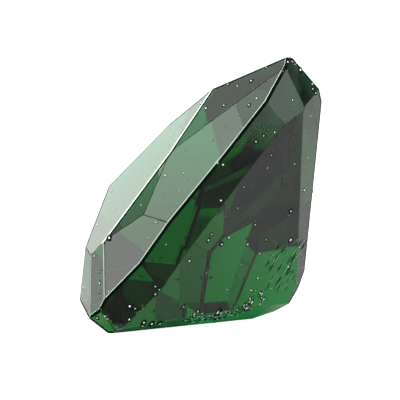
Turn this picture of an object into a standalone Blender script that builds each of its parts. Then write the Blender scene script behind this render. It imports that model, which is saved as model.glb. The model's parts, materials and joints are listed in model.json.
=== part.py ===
"""A faceted tsavorite garnet, cut as a rounded triangle with a sharp-edged table.

The stone is cut the way a gem cutter works: a rough block is trimmed by one flat plane per facet, tier by
tier, and the cut stone is then laid on the pavilion facet that it rests on. Lengths are metres, +Z is up,
and the origin is on the floor under the middle of the stone's box. Seen along +Y, the stone shows the side
that its photograph shows: the table leans up and to the left, and the culet lies low on the right.
"""

import math
from collections import namedtuple

import bmesh
import bpy
from mathutils import Matrix, Quaternion, Vector

MM = 0.001

# Driving dimensions. The long side of the girdle is 8 mm and the other sizes follow the stone's outline.
GIRDLE_SIDE = 8.0 * MM
ROUGH_SIZE = 2.0 * GIRDLE_SIDE
TABLE_HEIGHT = 0.771 * MM
STONE_COLOUR = (0.03, 0.25, 0.08, 1.0)
STONE_ROUGHNESS = 0.04

# How far the laid stone is turned about the vertical, so that its photographed side faces -Y.
TURN = math.radians(12.9)

# Vertices closer than this are one vertex.
WELD = 0.0005 * MM

# A facet faces a compass direction, in degrees anticlockwise as seen from above the table, with 0 along
# the girdle plane's +X. Slope is its angle from the girdle plane in degrees, and depth is how far it is
# cut from the middle of the girdle plane.
Facet = namedtuple("Facet", "name compass slope depth")

# Crown, from the sharp table corner along the near side, round the blunt corner and up the far sides.
CROWN = (
    Facet("sharp corner", 285.0, 23.0, 1.488 * MM),
    Facet("near right", 271.0, 34.0, 1.682 * MM),
    Facet("near star", 268.0, 29.5, 1.569 * MM),
    Facet("near left", 262.5, 35.0, 1.773 * MM),
    Facet("blunt corner", 231.0, 26.5, 1.830 * MM),
    Facet("left side", 171.5, 32.5, 1.774 * MM),
    Facet("left top", 146.0, 33.0, 1.591 * MM),
    Facet("far star", 45.5, 20.0, 1.274 * MM),
    Facet("far side", 27.5, 47.5, 1.795 * MM),
)

# Steep band under the girdle: five cuts bow the near side, and the corners are cut blunt.
BAND = (
    Facet("near 1", 254.5, 87.0, 3.347 * MM),
    Facet("near 2", 265.5, 84.5, 3.076 * MM),
    Facet("near 3", 267.0, 84.0, 3.059 * MM),
    Facet("near 4", 268.5, 84.0, 3.099 * MM),
    Facet("near 5", 280.5, 82.0, 3.653 * MM),
    Facet("sharp corner", 315.0, 68.5, 4.607 * MM),
    Facet("far side", 22.5, 91.0, 2.925 * MM),
    Facet("far corner", 68.0, 90.0, 3.990 * MM),
    Facet("left side", 170.5, 90.5, 3.213 * MM),
    Facet("blunt corner", 219.5, 93.5, 4.197 * MM),
)

# Pavilion mains, the facet that the stone rests on, and the smaller facets at their corners.
REST_FACET = Facet("left main", 175.5, 52.5, 3.076 * MM)
PAVILION = (
    Facet("near main", 267.0, 52.0, 2.860 * MM),
    Facet("near left main", 249.5, 52.0, 3.219 * MM),
    REST_FACET,
    Facet("far main", 27.0, 46.5, 2.968 * MM),
    Facet("far corner main", 48.0, 46.5, 2.892 * MM),
    Facet("sharp corner hip", 306.0, 36.5, 3.462 * MM),
    Facet("blunt corner hip", 200.0, 42.0, 3.241 * MM),
    Facet("left hip", 188.5, 35.5, 3.529 * MM),
    Facet("left break", 141.5, 58.5, 3.563 * MM),
)

# Shallow facets that close the point.
CULET = (
    Facet("near point", 275.5, 30.5, 3.651 * MM),
    Facet("far point", 49.0, 13.5, 3.806 * MM),
)


def clear_scene():
    """Removes every object that the scene starts with."""
    for old in list(bpy.data.objects):
        bpy.data.objects.remove(old, do_unlink=True)


def facing(facet, side):
    """Gives the outward direction of a facet; side is 1 on the crown and -1 on the pavilion."""
    compass = math.radians(facet.compass)
    slope = math.radians(facet.slope)
    flat = math.sin(slope)
    return Vector((flat * math.cos(compass), flat * math.sin(compass), side * math.cos(slope)))


def cut(rough, outward, depth):
    """Trims the rough with one plane and closes the cut with one flat face."""
    everything = rough.verts[:] + rough.edges[:] + rough.faces[:]
    trimmed = bmesh.ops.bisect_plane(
        rough, geom=everything, plane_co=outward * depth, plane_no=outward, clear_outer=True
    )
    rim = [item for item in trimmed["geom_cut"] if isinstance(item, bmesh.types.BMEdge)]
    bmesh.ops.holes_fill(rough, edges=rim)


def cut_stone():
    """Cuts the whole stone, with its girdle plane level and its table up."""
    rough = bmesh.new()
    bmesh.ops.create_cube(rough, size=ROUGH_SIZE)
    for facet in PAVILION + BAND + CULET:
        cut(rough, facing(facet, -1), facet.depth)
    for facet in CROWN:
        cut(rough, facing(facet, 1), facet.depth)
    cut(rough, Vector((0.0, 0.0, 1.0)), TABLE_HEIGHT)
    bmesh.ops.remove_doubles(rough, verts=rough.verts, dist=WELD)
    bmesh.ops.dissolve_degenerate(rough, dist=WELD, edges=rough.edges)
    bmesh.ops.recalc_face_normals(rough, faces=rough.faces)
    return rough


def lay_down(rough):
    """Turns the stone onto its rest facet and puts the middle of its box over the origin."""
    down = facing(REST_FACET, -1).rotation_difference(Vector((0.0, 0.0, -1.0)))
    turn = Quaternion((0.0, 0.0, 1.0), TURN)
    laid = (turn @ down).to_matrix().to_4x4()
    bmesh.ops.transform(rough, matrix=laid, verts=rough.verts)
    low = [min(vert.co[axis] for vert in rough.verts) for axis in range(3)]
    high = [max(vert.co[axis] for vert in rough.verts) for axis in range(3)]
    foot = Vector(((low[0] + high[0]) / 2.0, (low[1] + high[1]) / 2.0, low[2]))
    bmesh.ops.transform(rough, matrix=Matrix.Translation(-foot), verts=rough.verts)


def stone_material():
    """Makes the stone's plain green material."""
    material = bpy.data.materials.new("tsavorite")
    material.use_nodes = True
    shader = material.node_tree.nodes["Principled BSDF"]
    shader.inputs["Base Color"].default_value = STONE_COLOUR
    shader.inputs["Roughness"].default_value = STONE_ROUGHNESS
    shader.inputs["Metallic"].default_value = 0.0
    material.diffuse_color = STONE_COLOUR
    return material


def build_stone():
    """Puts the finished stone in its collection as one object."""
    rough = cut_stone()
    lay_down(rough)
    mesh = bpy.data.meshes.new("gemstone")
    rough.to_mesh(mesh)
    rough.free()
    mesh.materials.append(stone_material())
    stone = bpy.data.objects.new("gemstone", mesh)
    collection = bpy.data.collections.new("faceted_tsavorite_garnet")
    bpy.context.scene.collection.children.link(collection)
    collection.objects.link(stone)


clear_scene()
build_stone()
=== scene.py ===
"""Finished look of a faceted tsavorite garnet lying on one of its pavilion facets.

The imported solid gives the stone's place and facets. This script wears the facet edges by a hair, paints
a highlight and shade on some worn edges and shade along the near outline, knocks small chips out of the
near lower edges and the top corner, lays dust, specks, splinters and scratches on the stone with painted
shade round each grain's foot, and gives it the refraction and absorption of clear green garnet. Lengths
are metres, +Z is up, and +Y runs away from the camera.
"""
import json
import logging
import math
from collections.abc import Iterable
from dataclasses import dataclass, field
from enum import Enum, IntEnum

import bmesh
import bpy
from bmesh.types import BMEdge, BMesh
from bpy.types import ID, Material, Mesh, Node, NodeSocket, NodeTree, Object
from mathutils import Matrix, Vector
from mathutils.bvhtree import BVHTree

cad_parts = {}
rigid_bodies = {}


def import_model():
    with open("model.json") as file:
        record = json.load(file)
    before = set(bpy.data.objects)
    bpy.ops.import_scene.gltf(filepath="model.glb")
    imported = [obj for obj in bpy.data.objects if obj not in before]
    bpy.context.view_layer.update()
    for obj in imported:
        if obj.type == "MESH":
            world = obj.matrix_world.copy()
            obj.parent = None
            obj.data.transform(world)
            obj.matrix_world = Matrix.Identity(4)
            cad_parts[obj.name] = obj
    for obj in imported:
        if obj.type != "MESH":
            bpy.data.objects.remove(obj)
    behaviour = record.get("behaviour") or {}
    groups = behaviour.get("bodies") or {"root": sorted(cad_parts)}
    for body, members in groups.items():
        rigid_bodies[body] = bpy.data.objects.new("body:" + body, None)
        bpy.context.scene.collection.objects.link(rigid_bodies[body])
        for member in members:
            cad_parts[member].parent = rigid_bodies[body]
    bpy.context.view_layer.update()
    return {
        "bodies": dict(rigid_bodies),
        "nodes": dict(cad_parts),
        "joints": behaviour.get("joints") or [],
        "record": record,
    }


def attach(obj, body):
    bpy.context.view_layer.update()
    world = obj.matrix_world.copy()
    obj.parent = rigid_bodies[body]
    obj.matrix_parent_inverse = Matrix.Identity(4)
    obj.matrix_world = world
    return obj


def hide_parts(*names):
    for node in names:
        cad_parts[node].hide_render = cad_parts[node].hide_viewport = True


MM = 0.001
LOG = logging.getLogger("garnet")

# Breadth of a column and height of a row when a node tree is shown
COLUMN = 200
ROW = 180

Triple = tuple[float, float, float]
Colour = tuple[float, float, float, float]
Values = dict[str | int, object]

WHITE: Colour = (1.0, 1.0, 1.0, 1.0)


class Socket(Enum):
    """Kinds of socket on a node group."""

    VALUE = "NodeSocketFloat"
    VECTOR = "NodeSocketVector"
    GEOMETRY = "NodeSocketGeometry"
    MATERIAL = "NodeSocketMaterial"
    WHOLE = "NodeSocketInt"


class Surface(IntEnum):
    """Kinds of surface on the stone, as the mesh's faces are sorted while it is made."""

    POLISHED = 0
    GROUND = 1
    WORN = 2
    CHIPPED = 3
    # Worn strip whose pale colour is a painted highlight
    BRUISED = 4
    # Strip of painted shade
    SHADED = 5


# Kinds of surface that the stone's own material tells apart by a mask
MASKED = (Surface.GROUND, Surface.WORN, Surface.CHIPPED)


class Carrier(Enum):
    """What grains are scattered over."""

    EDGES = "edges"
    FACES = "faces"
    SPOTS = "spots"


class Draw(IntEnum):
    """Random draws that place the grains. Each adds its number to the seed, so that they differ."""

    DRIFT = 1
    KEEP = 2
    SIZE = 3
    TURN = 4
    SQUASH = 5


def feed(tree: NodeTree, node: Node, values: Values) -> None:
    """Sets or links inputs of a node, and shows the node to the right of those that feed it.

    Args:
        tree: Tree that holds the node.
        node: The node.
        values: Socket or value of each input, by the input's name or number.
    """
    for key, value in values.items():
        if isinstance(value, NodeSocket):
            tree.links.new(value, node.inputs[key])
            node.location.x = max(node.location.x, value.node.location.x + COLUMN)
        else:
            node.inputs[key].default_value = value


def add_node(tree: NodeTree, kind: str, values: Values | None = None, **settings: object) -> Node:
    """Adds a node on a row of its own.

    Args:
        tree: Tree that gets the node.
        kind: Blender's name for the node's class.
        values: Socket or value of each input, by the input's name or number.
        **settings: The node's properties by name.

    Returns:
        The new node.
    """
    node = tree.nodes.new(kind)
    node.location.y = -ROW * len(tree.nodes)
    for name, value in settings.items():
        setattr(node, name, value)
    feed(tree, node, values or {})
    return node


def add_math(tree: NodeTree, operation: str, *values: object) -> NodeSocket:
    """Adds a math node.

    Args:
        tree: Tree that gets the node.
        operation: Blender's name for the operation.
        *values: Socket or number of each input in turn.

    Returns:
        The result's socket.
    """
    node = add_node(tree, "ShaderNodeMath", dict(enumerate(values)), operation=operation)
    return node.outputs["Value"]


def mix_colours(tree: NodeTree, share: NodeSocket, first: Colour, second: Colour) -> NodeSocket:
    """Blends two colours.

    Args:
        tree: Tree that gets the node.
        share: Socket of the second colour's share.
        first: Colour where that share is 0.
        second: Colour where it is 1.

    Returns:
        The blend's socket.
    """
    # Inputs 6 and 7 and output 2 of the node are those for colours
    node = add_node(tree, "ShaderNodeMix", {0: share, 6: first, 7: second}, data_type="RGBA")
    return node.outputs[2]


def new_group(
    name: str,
    kind: str,
    inputs: Iterable[tuple[str, Socket, object]],
    outputs: Iterable[tuple[str, Socket]],
) -> NodeTree:
    """Makes an empty node group with its sockets.

    Args:
        name: Name of the group.
        kind: Blender's name for the tree's class.
        inputs: Name, kind and default of each input, with None where there is no default.
        outputs: Name and kind of each output.

    Returns:
        The group.
    """
    group = bpy.data.node_groups.new(name, kind)
    for label, sort, default in inputs:
        entry = group.interface.new_socket(label, in_out="INPUT", socket_type=sort.value)
        if default is not None:
            entry.default_value = default
    for label, sort in outputs:
        group.interface.new_socket(label, in_out="OUTPUT", socket_type=sort.value)
    return group


def new_material(name: str, values: Values) -> tuple[Material, Node]:
    """Makes a material.

    Args:
        name: Name of the material.
        values: Value of each plain input of its shader, by name.

    Returns:
        The material and its shader.
    """
    material = bpy.data.materials.new(name)
    material.use_nodes = True
    shader = material.node_tree.nodes["Principled BSDF"]
    feed(material.node_tree, shader, values)
    return material, shader


def plain_copy(piece: Object, name: str) -> Mesh:
    """Turns a piece as its modifiers leave it into a plain mesh.

    Args:
        piece: Object with its modifiers.
        name: Name of the new mesh.

    Returns:
        The plain mesh.
    """
    graph = bpy.context.evaluated_depsgraph_get()
    mesh = bpy.data.meshes.new_from_object(piece.evaluated_get(graph), depsgraph=graph)
    mesh.name = name
    return mesh


def place(name: str, data: ID) -> Object:
    """Puts a mesh, a lamp or a camera in the scene as an object at the origin."""
    piece = bpy.data.objects.new(name, data)
    bpy.context.scene.collection.objects.link(piece)
    return piece


def aim(piece: Object, spot: Vector, back: Vector) -> None:
    """Moves a piece and turns it so that it faces away from a direction.

    Args:
        piece: Lamp, card or camera.
        spot: Where it goes.
        back: Direction at its back.
    """
    piece.location = spot
    piece.rotation_mode = "QUATERNION"
    piece.rotation_quaternion = (-back).to_track_quat("-Z", "Y")


def finished(body: BMesh, name: str) -> Mesh:
    """Turns a body that was being worked on into a mesh and frees it."""
    mesh = bpy.data.meshes.new(name)
    body.to_mesh(mesh)
    body.free()
    return mesh


def trim(body: BMesh, spot: Vector | Triple, way: Vector | Triple) -> list[BMEdge]:
    """Cuts off what lies beyond a plane.

    Args:
        body: The body that is cut.
        spot: A point of the plane.
        way: The plane's direction, towards what is cut off.

    Returns:
        The edges round the cut.
    """
    everything = body.verts[:] + body.edges[:] + body.faces[:]
    cut = bmesh.ops.bisect_plane(body, geom=everything, plane_co=spot, plane_no=way, clear_outer=True)
    return [item for item in cut["geom_cut"] if isinstance(item, BMEdge)]


def flat_sheet(name: str, sides: tuple[float, float], material: Material) -> Mesh:
    """Makes a flat sheet that is centred on the origin.

    Args:
        name: Name of the mesh.
        sides: Its breadth and height.
        material: Its material.

    Returns:
        The sheet.
    """
    right, back = sides[0] / 2.0, sides[1] / 2.0
    corners = ((-right, -back, 0.0), (right, -back, 0.0), (right, back, 0.0), (-right, back, 0.0))
    mesh = bpy.data.meshes.new(name)
    mesh.from_pydata(corners, [], [(0, 1, 2, 3)])
    mesh.materials.append(material)
    return mesh


@dataclass(frozen=True)
class Sight:
    """The line of sight of the photograph.

    Attributes:
        target: Point that the middle of the picture looks at.
        elevation: Height of the camera above the horizon, in radians.
        distance: Distance from the camera to the target.
    """

    target: Triple = (-0.0093 * MM, -0.6804 * MM, 2.9657 * MM)
    elevation: float = math.radians(4.764)
    distance: float = 201.4 * MM

    def back(self) -> Vector:
        """Gives the direction from the target to the camera."""
        return Vector((0.0, -math.cos(self.elevation), math.sin(self.elevation)))

    def eye(self) -> Vector:
        """Gives the place of the camera."""
        return Vector(self.target) + self.back() * self.distance

    def ray(self, across: float, up: float) -> tuple[Vector, Vector]:
        """Gives the ray through a point of the picture.

        Args:
            across: Distance to the right of the target, in the plane through it.
            up: Distance above the target, in that plane.

        Returns:
            The camera's place and the ray's direction.
        """
        rise = Vector((0.0, math.sin(self.elevation), math.cos(self.elevation)))
        point = Vector(self.target) + Vector((across, 0.0, 0.0)) + rise * up
        return self.eye(), (point - self.eye()).normalized()


SIGHT = Sight()

# A facet whose direction leans towards the camera is on the near side
NEAR_SIDE = SIGHT.back()


@dataclass(frozen=True)
class FineWear:
    """Fine wear that the finishes share: pits, a thin film of dust and ripples.

    Attributes:
        pit_size: Radius of a pit against the mean distance between pits.
        pit_scale: How many pits there are to a metre.
        film_scale: How many clouds of the film there are to a metre.
        film_detail: Levels of finer clouds within the clouds.
        ripple_scale: How many ripples there are to a metre.
    """

    pit_size: float = 0.08
    pit_scale: float = 3200.0
    film_scale: float = 1400.0
    film_detail: float = 4.0
    ripple_scale: float = 9000.0

    def build(self) -> NodeTree:
        """Makes the shader node group.

        Returns:
            A group that puts out a mask of pits, a mask of film and a height for ripples.
        """
        group = new_group(
            "fine_wear",
            "ShaderNodeTree",
            (("Pit Size", Socket.VALUE, self.pit_size),),
            (("Pits", Socket.VALUE), ("Film", Socket.VALUE), ("Height", Socket.VALUE)),
        )
        entry = add_node(group, "NodeGroupInput")
        where = add_node(group, "ShaderNodeTexCoord").outputs["Object"]
        spots = {"Vector": where, "Scale": self.pit_scale}
        cells = add_node(group, "ShaderNodeTexVoronoi", spots, feature="F1")
        clouds = {"Vector": where, "Scale": self.film_scale, "Detail": self.film_detail}
        film = add_node(group, "ShaderNodeTexNoise", clouds)
        ripple = add_node(group, "ShaderNodeTexNoise", {"Vector": where, "Scale": self.ripple_scale})
        pits = add_math(group, "LESS_THAN", cells.outputs["Distance"], entry.outputs["Pit Size"])
        results = {"Pits": pits, "Film": film.outputs["Fac"], "Height": ripple.outputs["Fac"]}
        add_node(group, "NodeGroupOutput", results)
        return group


@dataclass(frozen=True)
class StoneFinish:
    """Clear green garnet: polished facets, a ground girdle band, worn edges and broken chips.

    Attributes:
        refraction: Index of refraction.
        absorption_colour: Colour that light keeps inside the stone.
        absorption_density: Strength of the absorption, per metre.
        band_roughness: Roughness of the girdle band where it is smoothest.
        cloud_roughness: Roughness that the thickest clouds at the band's top add.
        cloud_heights: Heights between which the band grows cloudy.
        worn_roughness: Roughness of the worn facet edges.
        chip_roughness: Roughness of a broken surface.
        pit_shade: Brightness of a pit in the girdle band.
        ripple_depth: Height of the ripples in a broken surface.
    """

    refraction: float = 1.74
    absorption_colour: Colour = (0.005, 0.850, 0.673, 1.0)
    absorption_density: float = 1800.0
    band_roughness: float = 0.02
    cloud_roughness: float = 0.68
    cloud_heights: tuple[float, float] = (3.8 * MM, 5.6 * MM)
    worn_roughness: float = 0.12
    chip_roughness: float = 0.22
    pit_shade: float = 0.05
    ripple_depth: float = 0.002 * MM

    def build(self, wear: NodeTree) -> Material:
        """Makes the stone's material.

        Args:
            wear: The fine wear group.

        Returns:
            A material with a see-through surface and an absorbing inside.
        """
        glass = {"Metallic": 0.0, "IOR": self.refraction, "Transmission Weight": 1.0}
        material, shader = new_material("tsavorite_garnet", glass)
        tree = material.node_tree
        ground, worn, chipped = (
            add_node(tree, "ShaderNodeAttribute", attribute_name=sort.name.lower()).outputs["Fac"]
            for sort in MASKED
        )
        marks = add_node(tree, "ShaderNodeGroup", node_tree=wear).outputs
        where = add_node(tree, "ShaderNodeTexCoord").outputs["Object"]
        height = add_node(tree, "ShaderNodeSeparateXYZ", {0: where}).outputs["Z"]
        rise = {"Value": height, "From Min": self.cloud_heights[0], "From Max": self.cloud_heights[1]}
        cloud = add_node(tree, "ShaderNodeMapRange", rise, interpolation_type="SMOOTHSTEP")
        cloudy = add_math(tree, "MULTIPLY", cloud.outputs["Result"], marks["Film"])
        band = add_math(tree, "MULTIPLY_ADD", cloudy, self.cloud_roughness, self.band_roughness)
        roughness = add_math(tree, "MULTIPLY", ground, band)
        roughness = add_math(tree, "MULTIPLY_ADD", worn, self.worn_roughness, roughness)
        roughness = add_math(tree, "MULTIPLY_ADD", chipped, self.chip_roughness, roughness)
        pits = add_math(tree, "MULTIPLY", marks["Pits"], ground)
        shade = add_math(tree, "MULTIPLY_ADD", pits, self.pit_shade - 1.0, 1.0)
        ripples = add_math(tree, "MULTIPLY", marks["Height"], chipped)
        relief = {"Strength": 1.0, "Distance": self.ripple_depth, "Height": ripples}
        bump = add_node(tree, "ShaderNodeBump", relief).outputs["Normal"]
        depth = {"Color": self.absorption_colour, "Density": self.absorption_density}
        inside = add_node(tree, "ShaderNodeVolumeAbsorption", depth).outputs["Volume"]
        feed(tree, shader, {"Roughness": roughness, "Base Color": shade, "Normal": bump})
        feed(tree, tree.nodes["Material Output"], {"Volume": inside})
        return material


@dataclass(frozen=True)
class MatteFinish:
    """A matt finish between two shades, for dust, scratches, and the painted highlight and painted shade
    on worn edges and round grains.

    Attributes:
        name: Name of the material.
        dull: Colour where it is dull.
        clean: Colour where it is clean.
        roughness: Roughness of the surface.
        specular: Strength of its plain reflection.
    """

    name: str
    dull: Colour
    clean: Colour
    roughness: float = 0.7
    specular: float = 0.3

    def build(self, wear: NodeTree) -> Material:
        """Makes the material.

        Args:
            wear: The fine wear group.

        Returns:
            A matt material that varies from place to place.
        """
        plain = {"Roughness": self.roughness, "Specular IOR Level": self.specular}
        material, shader = new_material(self.name, plain)
        tree = material.node_tree
        marks = add_node(tree, "ShaderNodeGroup", node_tree=wear).outputs
        feed(tree, shader, {"Base Color": mix_colours(tree, marks["Film"], self.dull, self.clean)})
        return material


WHITE_DUST = MatteFinish("white_dust", (0.80, 0.84, 0.80, 1.0), WHITE)
# Pale worn edges: wear with a painted highlight
BRUISED_EDGE_HIGHLIGHT = MatteFinish("bruised_edge_highlight", (0.55, 0.68, 0.56, 1.0), (0.95, 1.0, 0.95, 1.0))
FRESH_SCRATCH = MatteFinish("fresh_scratch", (0.05, 0.22, 0.08, 1.0), (0.22, 0.50, 0.27, 1.0))
# Painted shade: black strips along edges and along the near outline
PAINTED_SHADE_EDGE = MatteFinish("painted_shade_edge", (0.0, 0.0, 0.0, 1.0), (0.004, 0.010, 0.005, 1.0), 0.9, 0.0)
# Painted shade round the foot of each grain
PAINTED_GRAIN_SHADE = MatteFinish("painted_grain_shade", (0.002, 0.004, 0.002, 1.0), (0.010, 0.022, 0.012, 1.0), 0.9, 0.0)


class ScatterTree:
    """A Geometry Nodes tree that sets rough little grains on points of a surface or an edge.

    Attributes:
        tree: The tree itself.
        given: Sockets of the tree's inputs.
    """

    INPUTS = (
        ("Geometry", Socket.GEOMETRY, None),
        ("Spacing", Socket.VALUE, 0.1 * MM),
        ("Density", Socket.VALUE, 1.0e6),
        ("Smallest", Socket.VALUE, 0.01 * MM),
        ("Largest", Socket.VALUE, 0.03 * MM),
        ("Shape", Socket.VECTOR, (1.0, 1.0, 1.0)),
        ("Lean", Socket.VALUE, 0.0),
        ("Wander", Socket.VALUE, 0.0),
        ("Keep", Socket.VALUE, 1.0),
        ("Seed", Socket.WHOLE, 1),
        ("Material", Socket.MATERIAL, None),
    )

    # Least breadth of a squashed grain against that of a round one
    LEAST_BREADTH = 0.65

    def __init__(self, name: str, carrier: Carrier) -> None:
        """Builds the tree.

        Args:
            name: Name of the tree.
            carrier: What the grains are scattered over.
        """
        self.tree = new_group(name, "GeometryNodeTree", self.INPUTS, (("Geometry", Socket.GEOMETRY),))
        self.given = add_node(self.tree, "NodeGroupInput").outputs
        size = self.draw(Draw.SIZE, "FLOAT", self.given["Smallest"], self.given["Largest"])
        if carrier is Carrier.EDGES:
            points = self.edge_points()
            turn = self.draw(Draw.TURN, "FLOAT_VECTOR", (0.0,) * 3, (math.tau,) * 3)
        elif carrier is Carrier.FACES:
            points, turn = self.face_points()
        else:
            points, turn = self.spot_points()
            size = add_math(self.tree, "MULTIPLY", size, self.own_value("FLOAT", "size"))
        self.set_grains(points, turn, size)

    def step(self, kind: str, values: Values, **settings: object) -> NodeSocket:
        """Adds a node and returns the first of its outputs that is in use."""
        node = add_node(self.tree, kind, values, **settings)
        return next(output for output in node.outputs if output.enabled)

    def own_value(self, kind: str, name: str) -> NodeSocket:
        """Reads an attribute of the points and returns its socket."""
        return self.step("GeometryNodeInputNamedAttribute", {"Name": name}, data_type=kind)

    def draw(self, number: Draw, kind: str, low: object, high: object) -> NodeSocket:
        """Adds a random value.

        Args:
            number: Which draw it is.
            kind: Blender's name for the value's type.
            low: Socket or value of the lower limit.
            high: Socket or value of the upper limit.

        Returns:
            The value's socket.
        """
        seed = add_math(self.tree, "ADD", self.given["Seed"], int(number))
        node = add_node(self.tree, "FunctionNodeRandomValue", {"Seed": seed}, data_type=kind)
        limits = {"Min": low, "Max": high}
        for key, entry in enumerate(node.inputs):
            if entry.enabled and entry.name in limits:
                feed(self.tree, node, {key: limits[entry.name]})
        return next(output for output in node.outputs if output.enabled)

    def edge_points(self) -> NodeSocket:
        """Spaces points along the edges.

        Returns:
            The points.
        """
        curve = self.step("GeometryNodeMeshToCurve", {"Mesh": self.given["Geometry"]})
        spacing = {"Curve": curve, "Length": self.given["Spacing"]}
        spaced = self.step("GeometryNodeResampleCurve", spacing, mode="LENGTH")
        return self.step("GeometryNodeCurveToPoints", {"Curve": spaced}, mode="EVALUATED")

    def face_points(self) -> tuple[NodeSocket, NodeSocket]:
        """Scatters points over the faces.

        Returns:
            The points, and a turn that lays a grain flat on its face and leans it within that face.
        """
        spread = {"Mesh": self.given["Geometry"]}
        spread |= {label: self.given[label] for label in ("Density", "Seed")}
        points = add_node(self.tree, "GeometryNodeDistributePointsOnFaces", spread).outputs
        about = self.step("ShaderNodeCombineXYZ", {"Z": self.given["Lean"]})
        turns = {"Rotation": points["Rotation"], "Rotate By": about}
        return points["Points"], self.step("FunctionNodeRotateRotation", turns, rotation_space="LOCAL")

    def spot_points(self) -> tuple[NodeSocket, NodeSocket]:
        """Turns each corner of the mesh into a point.

        Returns:
            The points, and a turn that lays a grain flat on the surface that its point faces from.
        """
        points = self.step("GeometryNodeMeshToPoints", {"Mesh": self.given["Geometry"]})
        facing = {"Vector": self.own_value("FLOAT_VECTOR", "facing")}
        return points, self.step("FunctionNodeAlignRotationToVector", facing, axis="Z")

    def set_grains(self, points: NodeSocket, turn: NodeSocket, size: NodeSocket) -> None:
        """Thins and shifts the points, sets a grain on each, and ends the tree.

        Args:
            points: The points' socket.
            turn: The socket of each grain's turn.
            size: The socket of each grain's size.
        """
        drift = self.draw(Draw.DRIFT, "FLOAT_VECTOR", (-1.0,) * 3, (1.0,) * 3)
        wander = {"Vector": drift, "Scale": self.given["Wander"]}
        stray = self.step("ShaderNodeVectorMath", wander, operation="SCALE")
        shifted = self.step("GeometryNodeSetPosition", {"Geometry": points, "Offset": stray})
        draw = self.draw(Draw.KEEP, "FLOAT", 0.0, 1.0)
        spare = add_math(self.tree, "GREATER_THAN", draw, self.given["Keep"])
        thinning = {"Geometry": shifted, "Selection": spare}
        thinned = self.step("GeometryNodeDeleteGeometry", thinning, domain="POINT")
        squash = self.draw(Draw.SQUASH, "FLOAT_VECTOR", (self.LEAST_BREADTH,) * 3, (1.0,) * 3)
        form = self.step("ShaderNodeVectorMath", {0: squash, 1: self.given["Shape"]}, operation="MULTIPLY")
        scale = self.step("ShaderNodeVectorMath", {"Vector": form, "Scale": size}, operation="SCALE")
        grain = self.step("GeometryNodeMeshIcoSphere", {"Subdivisions": 1})
        crop = {"Points": thinned, "Instance": grain, "Rotation": turn, "Scale": scale}
        copies = self.step("GeometryNodeInstanceOnPoints", crop)
        real = self.step("GeometryNodeRealizeInstances", {"Geometry": copies})
        dress = {"Geometry": real, "Material": self.given["Material"]}
        dressed = self.step("GeometryNodeSetMaterial", dress)
        add_node(self.tree, "NodeGroupOutput", {"Geometry": dressed})

    def scatter(self, name: str, ground: Mesh, **values: object) -> Mesh:
        """Runs the tree on a mesh.

        Args:
            name: Name of the new mesh.
            ground: Mesh that the points lie on.
            **values: The tree's inputs by name, in lower case. Other names are passed over.

        Returns:
            The grains as one plain mesh.
        """
        holder = place(name, ground)
        modifier = holder.modifiers.new("scatter", "NODES")
        modifier.node_group = self.tree
        for item in self.tree.interface.items_tree:
            if item.in_out == "INPUT" and item.name.lower() in values:
                modifier[item.identifier] = values[item.name.lower()]
        mesh = plain_copy(holder, name)
        holder.modifiers.remove(modifier)
        bpy.data.objects.remove(holder)
        return mesh


@dataclass
class ChippedEdges:
    """Small chips knocked out of the near lower edges and the top corner.

    Attributes:
        spacing: Mean distance between neighbouring knocks.
        smallest: Radius of the smallest chip.
        largest: Radius of the largest chip.
        wander: How far a chip may lie from its edge.
        keep: Share of the knocks that left a chip.
        seed: Seed of the random draws.
        base_height: Height under which the near edges are chipped.
        near_lean: Least share of a near facet's direction that is towards the front.
        corner_reach: How far from the stone's highest point the edges are chipped.
        pieces: Pieces that an edge is divided into, to chip only a part of it.
    """

    spacing: float = 0.11 * MM
    smallest: float = 0.015 * MM
    largest: float = 0.06 * MM
    wander: float = 0.04 * MM
    keep: float = 0.6
    seed: int = 11
    base_height: float = 0.7 * MM
    near_lean: float = 0.5
    corner_reach: float = 0.55 * MM
    pieces: int = 12

    def chipped(self, spot: Vector, near: bool, top: Vector) -> bool:
        """Tells whether a spot on an edge is chipped."""
        return (near and spot.z < self.base_height) or (spot - top).length < self.corner_reach

    def guide(self, body: BMesh) -> Mesh:
        """Copies the parts of the edges that are chipped.

        Args:
            body: The stone's flat facets.

        Returns:
            A mesh of edges only.
        """
        top = max(body.verts, key=lambda vert: vert.co.z).co
        points = []
        for edge in body.edges:
            near = min(face.normal.y for face in edge.link_faces) < -self.near_lean
            start, run = edge.verts[0].co, edge.verts[1].co - edge.verts[0].co
            for step in range(self.pieces):
                ends = [start + run * ((step + share) / self.pieces) for share in (0.0, 1.0)]
                if self.chipped((ends[0] + ends[1]) / 2.0, near, top):
                    points.extend(ends)
        mesh = bpy.data.meshes.new("chipped_edges")
        mesh.from_pydata(points, [(i, i + 1) for i in range(0, len(points), 2)], [])
        return mesh

    def cutters(self, body: BMesh, material: Material) -> Mesh:
        """Makes the shapes that are cut out of the stone.

        Args:
            body: The stone's flat facets.
            material: Material of the broken surfaces.

        Returns:
            A mesh of small rough balls, one for each chip.
        """
        tree = ScatterTree("chips_along_edges", Carrier.EDGES)
        return tree.scatter("chip_cutters", self.guide(body), material=material, **vars(self))


@dataclass(frozen=True)
class EdgeStyle:
    """How the worn strip along a kind of edge is cut, with its bands of painted highlight and painted
    shade.

    Attributes:
        cuts: Kind and width of each narrow cut, from the facet nearer the table to the other.
    """

    cuts: tuple[tuple[Surface, float], ...]

    def apply(self, body: BMesh, spot: Vector, ways: list[Vector]) -> None:
        """Cuts the strip.

        Args:
            body: The stone's facets.
            spot: A point on the edge.
            ways: Directions of the two facets, the one nearer the table first.
        """
        turn = ways[0].angle(ways[1])
        count = len(self.cuts)
        step = turn / (count + 1)
        for number, (kind, width) in enumerate(self.cuts, start=1):
            way = ways[0].slerp(ways[1], number * step / turn)
            reach = count * width * math.cos((count - 1) * step / 2.0) / (2.0 * math.cos(turn / 2.0))
            depth = reach * math.sin(step)
            rim = trim(body, spot - way * depth, way)
            for face in bmesh.ops.holes_fill(body, edges=rim)["faces"]:
                face.material_index = kind


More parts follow.
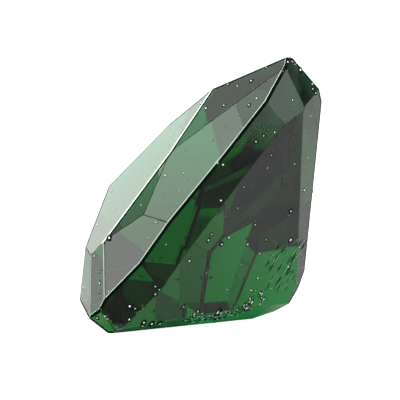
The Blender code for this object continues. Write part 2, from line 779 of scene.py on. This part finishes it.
@dataclass
class Stone:
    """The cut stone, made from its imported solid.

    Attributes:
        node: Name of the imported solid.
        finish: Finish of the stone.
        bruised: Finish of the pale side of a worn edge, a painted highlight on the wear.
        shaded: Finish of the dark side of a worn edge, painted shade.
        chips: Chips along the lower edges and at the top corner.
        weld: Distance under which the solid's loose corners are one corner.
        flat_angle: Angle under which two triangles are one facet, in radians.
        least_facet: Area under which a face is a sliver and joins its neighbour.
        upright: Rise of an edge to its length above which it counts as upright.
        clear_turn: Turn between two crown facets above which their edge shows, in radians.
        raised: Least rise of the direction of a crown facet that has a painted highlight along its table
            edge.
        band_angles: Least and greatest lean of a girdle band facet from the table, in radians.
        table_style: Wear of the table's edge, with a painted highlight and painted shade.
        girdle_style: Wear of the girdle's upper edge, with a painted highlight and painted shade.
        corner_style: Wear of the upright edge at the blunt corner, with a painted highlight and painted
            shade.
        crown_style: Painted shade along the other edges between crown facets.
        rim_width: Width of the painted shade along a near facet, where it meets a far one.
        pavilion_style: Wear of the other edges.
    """

    node: str = "gemstone"
    finish: StoneFinish = field(default_factory=StoneFinish)
    bruised: MatteFinish = BRUISED_EDGE_HIGHLIGHT
    shaded: MatteFinish = PAINTED_SHADE_EDGE
    chips: ChippedEdges = field(default_factory=ChippedEdges)
    weld: float = 0.0002 * MM
    flat_angle: float = math.radians(0.9)
    least_facet: float = 0.05 * MM * MM
    upright: float = 0.8
    clear_turn: float = math.radians(10.0)
    raised: float = 0.45
    band_angles: tuple[float, float] = (math.radians(60.0), math.radians(118.0))
    table_style: EdgeStyle = EdgeStyle(((Surface.BRUISED, 0.07 * MM), (Surface.SHADED, 0.07 * MM)))
    girdle_style: EdgeStyle = EdgeStyle(((Surface.BRUISED, 0.035 * MM), (Surface.SHADED, 0.057 * MM)))
    corner_style: EdgeStyle = EdgeStyle(((Surface.BRUISED, 0.02 * MM), (Surface.SHADED, 0.025 * MM)))
    crown_style: EdgeStyle = EdgeStyle(((Surface.SHADED, 0.02 * MM),))
    rim_width: float = 0.065 * MM
    pavilion_style: EdgeStyle = EdgeStyle(((Surface.WORN, 0.015 * MM),))

    def facet_body(self, solid: Object, table: Vector) -> BMesh:
        """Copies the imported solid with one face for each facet, sorted into polished and ground.

        Args:
            solid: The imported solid's object.
            table: Direction that the table faces.

        Returns:
            A closed body of flat facets.
        """
        body = bmesh.new()
        body.from_mesh(solid.data)
        bmesh.ops.remove_doubles(body, verts=body.verts, dist=self.weld)
        bmesh.ops.dissolve_degenerate(body, dist=self.weld, edges=body.edges)
        bmesh.ops.dissolve_limit(body, angle_limit=self.flat_angle, verts=body.verts, edges=body.edges)
        self.merge_slivers(body)
        bmesh.ops.recalc_face_normals(body, faces=body.faces)
        body.faces.index_update()
        low, high = self.band_angles
        for face in body.faces:
            in_band = low < face.normal.angle(table) < high
            face.material_index = Surface.GROUND if in_band else Surface.POLISHED
        return body

    def merge_slivers(self, body: BMesh) -> None:
        """Joins each sliver of a face to the facet along its longest side.

        Args:
            body: The stone's facets.
        """
        count = sum(face.calc_area() < self.least_facet for face in body.faces)
        for _ in range(count):
            sliver = min(body.faces, key=lambda face: face.calc_area())
            if sliver.calc_area() < self.least_facet:
                side = max(sliver.edges, key=lambda edge: edge.calc_length())
                bmesh.ops.dissolve_edges(body, edges=[side])

    def edge_style(self, ways: list[Vector], table: Vector) -> EdgeStyle:
        """Chooses how an edge is worn and whether it gets a painted highlight and painted shade.

        Args:
            ways: Directions of the two facets that meet there, the one nearer the table first.
            table: Direction that the table faces.

        Returns:
            The edge's style.
        """
        upper, lower = (way.angle(table) for way in ways)
        band_start, band_end = self.band_angles
        if self.on_outline(ways):
            return self.pavilion_style
        if upper < self.flat_angle:
            return self.table_style if ways[1].z > self.raised else self.crown_style
        if upper < band_start < lower < band_end:
            return self.girdle_style
        if lower < band_start:
            rise = abs(ways[0].cross(ways[1]).normalized().z)
            marked = rise > self.upright and ways[0].angle(ways[1]) > self.clear_turn
            return self.corner_style if marked else self.crown_style
        return self.pavilion_style

    @staticmethod
    def on_outline(ways: list[Vector]) -> bool:
        """Tells whether one of two facets is near and the other far."""
        return min(way.dot(NEAR_SIDE) for way in ways) < 0.0 < max(way.dot(NEAR_SIDE) for way in ways)

    def shade_rim(self, body: BMesh, spot: Vector, ways: list[Vector]) -> None:
        """Marks painted shade, a dark rim, on a near facet along an edge that it shares with a far facet.

        Args:
            body: The stone's facets.
            spot: A point on the edge.
            ways: Directions of the two facets.
        """
        far, near = sorted(ways, key=lambda way: way.dot(NEAR_SIDE))
        across = (far - near * far.dot(near)).normalized()
        start = spot - across * self.rim_width
        parts = set()
        for face in body.faces:
            if face.normal.angle(near) < self.flat_angle:
                parts.update((face, *face.edges, *face.verts))
        bmesh.ops.bisect_plane(body, geom=list(parts), plane_co=start, plane_no=across)
        for face in body.faces:
            in_rim = (face.calc_center_median() - start).dot(across) > 0.0
            if in_rim and face.normal.angle(near) < self.flat_angle:
                face.material_index = Surface.SHADED

    def wear_edges(self, body: BMesh, table: Vector) -> None:
        """Cuts a worn strip along every edge, some with painted highlight or painted shade, and paints
        shade along the near outline.

        Args:
            body: The stone's flat facets.
            table: Direction that the table faces.
        """
        meetings = {}
        for edge in body.edges:
            ways = [face.normal.copy() for face in edge.link_faces]
            ways.sort(key=lambda way: way.angle(table))
            pair = frozenset(face.index for face in edge.link_faces)
            if ways[0].angle(ways[-1]) > self.flat_angle:
                meetings.setdefault(pair, (edge.verts[0].co.copy(), ways))
        edges = list(meetings.values())
        for spot, ways in edges:
            self.edge_style(ways, table).apply(body, spot, ways)
        # Painted shade along the near facets' outline
        for spot, ways in edges:
            if self.on_outline(ways) and max(way.angle(table) for way in ways) > self.flat_angle:
                self.shade_rim(body, spot, ways)
        bmesh.ops.remove_doubles(body, verts=body.verts, dist=self.weld)
        bmesh.ops.recalc_face_normals(body, faces=body.faces)

    def knock_chips(self, stone: Object, cutters: Mesh) -> Mesh:
        """Cuts the chips.

        Args:
            stone: Object with the worn facets.
            cutters: Shapes of the chips.

        Returns:
            The chipped stone as a plain mesh.
        """
        knives = place("chip_cutters", cutters)
        cut = stone.modifiers.new("chips", "BOOLEAN")
        cut.operation = "DIFFERENCE"
        cut.solver = "MANIFOLD"
        cut.object = knives
        mesh = plain_copy(stone, "garnet_stone")
        stone.modifiers.clear()
        bpy.data.objects.remove(knives)
        return mesh

    def sort_surfaces(self, mesh: Mesh, wear: NodeTree) -> None:
        """Gives each face its finish and a mask for its kind of surface.

        Args:
            mesh: The worn stone.
            wear: The fine wear group.
        """
        kinds = [Surface[mesh.materials[face.material_index].name] for face in mesh.polygons]
        for sort in MASKED:
            mask = mesh.attributes.new(sort.name.lower(), "FLOAT", "FACE")
            mask.data.foreach_set("value", [float(kind is sort) for kind in kinds])
        mesh.materials.clear()
        for finish in (self.finish, self.bruised, self.shaded):
            mesh.materials.append(finish.build(wear))
        slots = {Surface.BRUISED: 1, Surface.SHADED: 2}
        mesh.polygons.foreach_set("material_index", [slots.get(kind, 0) for kind in kinds])

    def build(self, frame: dict, wear: NodeTree) -> Object:
        """Makes the finished stone and puts it in the solid's place.

        Args:
            frame: The loaded frame.
            wear: The fine wear group.

        Returns:
            The finished stone.
        """
        mounts = {mount["name"]: mount for mount in frame["record"]["mounts"]}
        table = Vector(mounts["table"]["axis"])
        body = self.facet_body(frame["nodes"][self.node], table)
        marks = [bpy.data.materials.new(sort.name) for sort in Surface]
        cutters = self.chips.cutters(body, marks[Surface.CHIPPED])
        self.wear_edges(body, table)
        worn = finished(body, "worn_facets")
        cutters.materials.clear()
        for mark in marks:
            worn.materials.append(mark)
            cutters.materials.append(mark)
        for face in cutters.polygons:
            face.material_index = Surface.CHIPPED
        stone = place("garnet_stone", worn)
        stone.data = self.knock_chips(stone, cutters)
        self.sort_surfaces(stone.data, wear)
        bpy.data.batch_remove(marks)
        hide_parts(self.node)
        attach(stone, "root")
        return stone


@dataclass
class Grains:
    """Grains that lie on the stone, each with a dark rim of painted shade round its foot.

    Attributes:
        name: Name of the grains' piece.
        finish: Finish of the grains.
        density: Grains to a square metre.
        smallest: Radius of the smallest grain.
        largest: Radius of the largest grain.
        shape: How much a grain is stretched across, along and away from its facet.
        lean: Turn of the grains within their facet, in radians.
        rim: Size of the painted shade rim against the grain's.
        rim_rise: Height of the rim against its breadth.
        seed: Seed of the random draws.
        carrier: What the grains lie on.
    """

    name: str = "dust_specks"
    finish: MatteFinish = WHITE_DUST
    density: float = 1.5e6
    smallest: float = 0.010 * MM
    largest: float = 0.034 * MM
    shape: Triple = (1.0, 1.0, 1.0)
    lean: float = 0.0
    rim: float = 2.2
    rim_rise: float = 0.14
    seed: int = 5
    carrier: Carrier = Carrier.FACES

    def build(self, ground: Mesh, wear: NodeTree) -> list[Object]:
        """Scatters the grains and their rims of painted shade.

        Args:
            ground: Surface that the grains lie on.
            wear: The fine wear group.

        Returns:
            The grains and the painted shade rims, one piece each.
        """
        tree = ScatterTree(f"{self.name}_tree", self.carrier)
        kinds = (
            (self.name, self.finish, 1.0, self.shape),
            # The second kind is painted shade: a flat dark rim round each grain's foot
            (f"{self.name}_rims", PAINTED_GRAIN_SHADE, self.rim, (*self.shape[:2], self.rim_rise)),
        )
        pieces = []
        for name, finish, growth, shape in kinds:
            mesh = tree.scatter(
                name,
                ground,
                density=self.density,
                smallest=self.smallest * growth,
                largest=self.largest * growth,
                shape=shape,
                lean=self.lean,
                seed=self.seed,
                material=finish.build(wear),
            )
            piece = place(name, mesh)
            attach(piece, "root")
            pieces.append(piece)
        return pieces


@dataclass
class Crowd:
    """Marks that crowd some parts of the near facets, such as the splinters just above the base.

    Attributes:
        parts: Left end, right end, lowest and highest point of each part, in millimetres.
        facing: Least share of a crowded facet's direction that is towards the near side.
        grains: The marks.
    """

    parts: tuple[tuple[float, float, float, float], ...] = (
        (-0.22, 0.42, 0.13, 0.46),
        (0.42, 0.80, 0.20, 0.38),
        (0.80, 1.05, 0.32, 0.56),
        (1.05, 1.30, 0.38, 0.72),
        (1.30, 1.55, 0.50, 0.86),
    )
    facing: float = 0.1
    grains: Grains = field(
        default_factory=lambda: Grains(
            name="base_splinters",
            density=7.0e7,
            smallest=0.022 * MM,
            largest=0.056 * MM,
            shape=(0.32, 1.2, 0.6),
            lean=math.radians(150.0),
            rim=2.6,
            seed=23,
        )
    )

    def strip(self, stone: Mesh) -> Mesh:
        """Copies the parts of the near facets that the marks crowd.

        Args:
            stone: The finished stone.

        Returns:
            An open mesh.
        """
        crowd = bmesh.new()
        for ends in self.parts:
            left, right, low, high = (end * MM for end in ends)
            part = bmesh.new()
            part.from_mesh(stone)
            trim(part, (0.0, 0.0, low), (0.0, 0.0, -1.0))
            trim(part, (0.0, 0.0, high), (0.0, 0.0, 1.0))
            trim(part, (left, 0.0, 0.0), (-1.0, 0.0, 0.0))
            trim(part, (right, 0.0, 0.0), (1.0, 0.0, 0.0))
            far = [face for face in part.faces if face.normal.dot(NEAR_SIDE) < self.facing]
            bmesh.ops.delete(part, geom=far, context="FACES")
            crowd.from_mesh(finished(part, "crowded_part"))
        return finished(crowd, "crowded_strip")

    def build(self, stone: Mesh, wear: NodeTree) -> list[Object]:
        """Scatters the marks and returns their pieces."""
        return self.grains.build(self.strip(stone), wear)


def scratches() -> Crowd:
    """Gives the pale slanted scratches low on the right of the near side."""
    return Crowd(
        parts=((1.70, 2.00, 0.70, 1.75), (2.00, 2.32, 0.95, 2.15)),
        facing=0.5,
        grains=Grains(
            name="scratches",
            finish=FRESH_SCRATCH,
            density=2.0e7,
            smallest=0.04 * MM,
            largest=0.34 * MM,
            shape=(0.10, 1.4, 0.03),
            lean=math.radians(155.0),
            rim=1.3,
            rim_rise=0.02,
            seed=47,
        ),
    )


@dataclass
class MarkedSpecks:
    """The largest specks, each where the photograph shows it.

    Attributes:
        sight: The photograph's line of sight.
        grains: The specks. Their sizes are shares of each spot's own radius.
        spots: Place across and up from the middle of the picture, and radius, in millimetres.
    """

    sight: Sight = SIGHT
    grains: Grains = field(
        default_factory=lambda: Grains(
            name="large_specks", smallest=0.9, largest=1.1, rim=3.2, seed=31, carrier=Carrier.SPOTS
        )
    )
    spots: tuple[Triple, ...] = (
        (-1.70, -2.57, 0.034), (-1.08, -2.09, 0.026), (-0.98, -2.17, 0.020), (-1.08, -2.28, 0.025),
        (-1.36, -2.96, 0.030), (-1.39, -3.04, 0.030), (-1.17, -2.99, 0.040), (-0.97, -2.97, 0.045),
        (-0.35, -2.90, 0.032), (-0.40, -2.58, 0.024), (0.35, -2.96, 0.032), (0.54, -2.85, 0.038),
        (1.07, -2.60, 0.032), (-1.71, -2.89, 0.026), (-2.48, -2.85, 0.024), (-2.19, -0.92, 0.038),
        (2.19, -0.27, 0.032), (2.18, -0.97, 0.032), (0.20, -0.97, 0.030), (0.52, -1.07, 0.028),
        (1.33, -0.60, 0.022), (1.59, -0.96, 0.022), (0.28, -0.83, 0.020), (1.24, 2.87, 0.030),
        (0.58, 2.28, 0.022), (1.19, 2.29, 0.030), (0.67, 2.79, 0.024), (1.60, 3.20, 0.024),
        (2.12, 3.33, 0.036), (2.22, 3.34, 0.024), (2.28, 3.27, 0.022), (2.42, 3.14, 0.046),
        (2.72, 2.68, 0.028), (2.79, 2.58, 0.024), (1.35, 1.41, 0.024), (1.54, 1.55, 0.020),
        (1.72, 1.08, 0.022), (-2.42, -1.74, 0.018), (-2.42, -1.98, 0.018), (-2.42, -2.23, 0.018),
    )

    def build(self, stone: Mesh, wear: NodeTree) -> list[Object]:
        """Sets the specks on the stone.

        Args:
            stone: The finished stone.
            wear: The fine wear group.

        Returns:
            The specks and their painted shade rims, one piece each.
        """
        body = bmesh.new()
        body.from_mesh(stone)
        surface = BVHTree.FromBMesh(body)
        body.free()
        places, ways, sizes = [], [], []
        for across, up, radius in self.spots:
            spot, way, _, _ = surface.ray_cast(*self.sight.ray(across * MM, up * MM))
            if spot is not None:
                places.append(spot)
                ways.extend(way)
                sizes.append(radius * MM)
        points = bpy.data.meshes.new("marked_places")
        points.from_pydata(places, [], [])
        points.attributes.new("facing", "FLOAT_VECTOR", "POINT").data.foreach_set("vector", ways)
        points.attributes.new("size", "FLOAT", "POINT").data.foreach_set("value", sizes)
        return self.grains.build(points, wear)


def build_card(name: str, sides: tuple[float, float], shade: float) -> Object:
    """Makes a matt card at the origin, out of the camera's sight.

    Args:
        name: Name of the card.
        sides: Its breadth and height.
        shade: Its shade, from 0 for black to 1 for white.

    Returns:
        The card.
    """
    paint = {"Base Color": (shade, shade, shade, 1.0), "Specular IOR Level": 0.0}
    material, _ = new_material(f"{name}_paint", paint)
    card = place(name, flat_sheet(name, sides, material))
    card.visible_camera = False
    return card


@dataclass(frozen=True)
class Screen:
    """A flat soft lamp or a flat dark card that faces the stone.

    Attributes:
        name: Name of the lamp or card.
        turn: Its direction, in degrees clockwise from +Y as seen from above.
        height: Its height above the horizon, in degrees.
        width: Its breadth as seen from the stone, in degrees.
        tallness: Its height as seen from the stone, in degrees.
    """

    name: str
    turn: float
    height: float
    width: float
    tallness: float

    def way(self) -> Vector:
        """Gives the direction from the stone."""
        turn, height = math.radians(self.turn), math.radians(self.height)
        flat = math.cos(height)
        return Vector((math.sin(turn) * flat, math.cos(turn) * flat, math.sin(height)))

    def sides(self, distance: float) -> tuple[float, float]:
        """Gives the breadth and height in metres at a distance."""
        angles = (self.width, self.tallness)
        return tuple(2.0 * distance * math.tan(math.radians(angle) / 2.0) for angle in angles)

    def hang(self, piece: Object, middle: Vector, distance: float) -> None:
        """Hangs the lamp or card so that it faces a point from a distance."""
        aim(piece, middle + self.way() * distance, self.way())


@dataclass(frozen=True)
class Lamp(Screen):
    """A soft lamp.

    Attributes:
        brightness: Brightness of its face, where white paper is 1.
        colour: Colour of its light.
    """

    brightness: float = 1.0
    colour: Triple = (1.0, 1.0, 1.0)

    def build(self, middle: Vector, distance: float) -> None:
        """Makes and hangs the lamp, out of the camera's sight.

        Args:
            middle: Point that the lamp faces.
            distance: Distance from that point.
        """
        data = bpy.data.lights.new(self.name, "AREA")
        data.shape = "RECTANGLE"
        data.size, data.size_y = self.sides(distance)
        data.energy = self.brightness * math.pi * data.size * data.size_y
        data.color = self.colour
        lamp = place(self.name, data)
        lamp.visible_camera = False
        self.hang(lamp, middle, distance)


@dataclass(frozen=True)
class DarkCard(Screen):
    """A dark card that keeps the room's light off some facets."""

    def build(self, middle: Vector, distance: float) -> None:
        """Makes and hangs the card."""
        self.hang(build_card(self.name, self.sides(distance), 0.0), middle, distance)


@dataclass(frozen=True)
class FloorCard:
    """A dark card on the floor in front of the stone, which darkens what the near facets mirror.

    Attributes:
        name: Name of the card.
        left: X of its left side.
        right: X of its right side.
        front: Y of the side nearest to the camera.
        back: Y of the side nearest to the stone.
        lift: Height above the floor.
        shade: Shade of the card.
    """

    name: str = "front_card"
    left: float = -4.0 * MM
    right: float = 24.0 * MM
    front: float = -60.0 * MM
    back: float = -4.1 * MM
    lift: float = 0.03 * MM
    shade: float = 0.10

    def build(self) -> None:
        """Lays the card where only the stone sees it."""
        card = build_card(self.name, (self.right - self.left, self.back - self.front), self.shade)
        card.location = ((self.left + self.right) / 2.0, (self.front + self.back) / 2.0, self.lift)
        card.visible_shadow = False


@dataclass
class Studio:
    """Camera, floor, surround, lamps and dark cards.

    Attributes:
        sight: The photograph's line of sight.
        lens: Focal length in millimetres.
        clip_start: Distance from the camera at which its view begins.
        floor_size: Length of the floor's sides.
        floor_shade: Shade of the floor.
        floor_roughness: Roughness of the floor.
        floor_glow: Brightness that the camera sees in the floor, before the lamps light it.
        surround: Brightness of the room that the stone sees.
        tint: Colour of that room.
        bounces: How often light may bounce in all.
        clear_bounces: How often it may bounce off, or pass through, a clear surface.
        lamp_distance: Distance from the stone to each lamp.
        card_distance: Distance from the stone to each dark card.
        lamps: The soft lamps.
        cards: The dark cards.
        front_card: The card on the floor in front of the stone.
    """

    sight: Sight = SIGHT
    lens: float = 750.0
    clip_start: float = 1.0 * MM
    floor_size: float = 0.8
    floor_shade: float = 0.30
    floor_roughness: float = 0.9
    floor_glow: float = 0.95
    surround: float = 0.78
    tint: Colour = (0.87, 1.0, 0.95, 1.0)
    bounces: int = 32
    clear_bounces: int = 24
    lamp_distance: float = 120.0 * MM
    card_distance: float = 300.0 * MM
    lamps: tuple[Lamp, ...] = (
        Lamp("upper_left_lamp", -54.0, 30.0, 75.0, 34.0, 0.80, (0.87, 1.0, 0.87)),
        Lamp("back_strip", -9.0, 11.0, 24.0, 12.0, 0.50, (1.0, 1.0, 0.86)),
        Lamp("left_lamp", -49.0, 43.0, 29.0, 89.0, 0.16),
        Lamp("top_left_lamp", -97.0, 82.0, 94.0, 29.0, 2.7),
        Lamp("front_right_lamp", 143.0, 35.0, 80.0, 20.0, 2.7),
        Lamp("right_lamp", 151.0, 41.0, 70.0, 85.0, 0.62),
        Lamp("front_left_lamp", -152.0, 53.0, 109.0, 80.0, 1.67),
    )
    cards: tuple[DarkCard, ...] = (
        DarkCard("top_card", -97.0, 79.0, 83.0, 90.0),
        DarkCard("left_card", -94.0, 20.0, 35.0, 28.0),
        DarkCard("right_card", 68.0, 15.0, 85.0, 25.0),
    )
    front_card: FloorCard = field(default_factory=FloorCard)

    def build_camera(self) -> None:
        """Puts the camera at the photograph's viewing angle."""
        data = bpy.data.cameras.new("camera")
        data.lens = self.lens
        data.clip_start = self.clip_start
        camera = place("camera", data)
        aim(camera, self.sight.eye(), self.sight.back())
        bpy.context.scene.camera = camera

    def build_floor(self) -> None:
        """Lays the plain pale floor, which looks lit from within to the camera only."""
        shade = (*(self.floor_shade,) * 3, 1.0)
        paint = {"Base Color": shade, "Roughness": self.floor_roughness, "Emission Color": WHITE}
        material, shader = new_material("pale_floor", paint)
        tree = material.node_tree
        seen = add_node(tree, "ShaderNodeLightPath").outputs["Is Camera Ray"]
        feed(tree, shader, {"Emission Strength": add_math(tree, "MULTIPLY", seen, self.floor_glow)})
        floor = place("floor", flat_sheet("floor", (self.floor_size, self.floor_size), material))

    def build_surround(self) -> None:
        """Makes a room that is white to the camera and pale grey-green to the stone."""
        world = bpy.data.worlds.new("studio_room")
        world.use_nodes = True
        tree = world.node_tree
        seen = add_node(tree, "ShaderNodeLightPath").outputs["Is Camera Ray"]
        strength = add_math(tree, "MULTIPLY_ADD", seen, 1.0 - self.surround, self.surround)
        light = {"Color": mix_colours(tree, seen, self.tint, WHITE), "Strength": strength}
        feed(tree, tree.nodes["Background"], light)
        bpy.context.scene.world = world

    def set_light_paths(self) -> None:
        """Lets light bounce inside the stone often enough to leave it, and shows colours as they are."""
        scene = bpy.context.scene
        scene.view_settings.view_transform = "Standard"
        scene.cycles.max_bounces = self.bounces
        scene.cycles.glossy_bounces = self.clear_bounces
        scene.cycles.transmission_bounces = self.clear_bounces
        scene.cycles.blur_glossy = 0.0

    def build(self) -> None:
        """Sets up the floor, the room, the lamps, the cards and the camera."""
        self.build_floor()
        self.build_surround()
        middle = Vector(self.sight.target)
        for lamp in self.lamps:
            lamp.build(middle, self.lamp_distance)
        for card in self.cards:
            card.build(middle, self.card_distance)
        self.front_card.build()
        self.set_light_paths()
        self.build_camera()


def main() -> None:
    """Builds the stone, what lies on it and the studio, and reports each piece."""
    logging.basicConfig(level=logging.INFO, format="%(message)s")
    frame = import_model()
    wear = FineWear().build()
    stone = Stone().build(frame, wear)
    LOG.info("stone: %d faces", len(stone.data.polygons))
    for layer in (Grains(), Crowd(), scratches(), MarkedSpecks()):
        for piece in layer.build(stone.data, wear):
            LOG.info("%s: %d faces", piece.name, len(piece.data.polygons))
    studio = Studio()
    studio.build()
    LOG.info("studio: %d lamps, %d dark cards", len(studio.lamps), len(studio.cards) + 1)


if __name__ == "__main__":
    main()
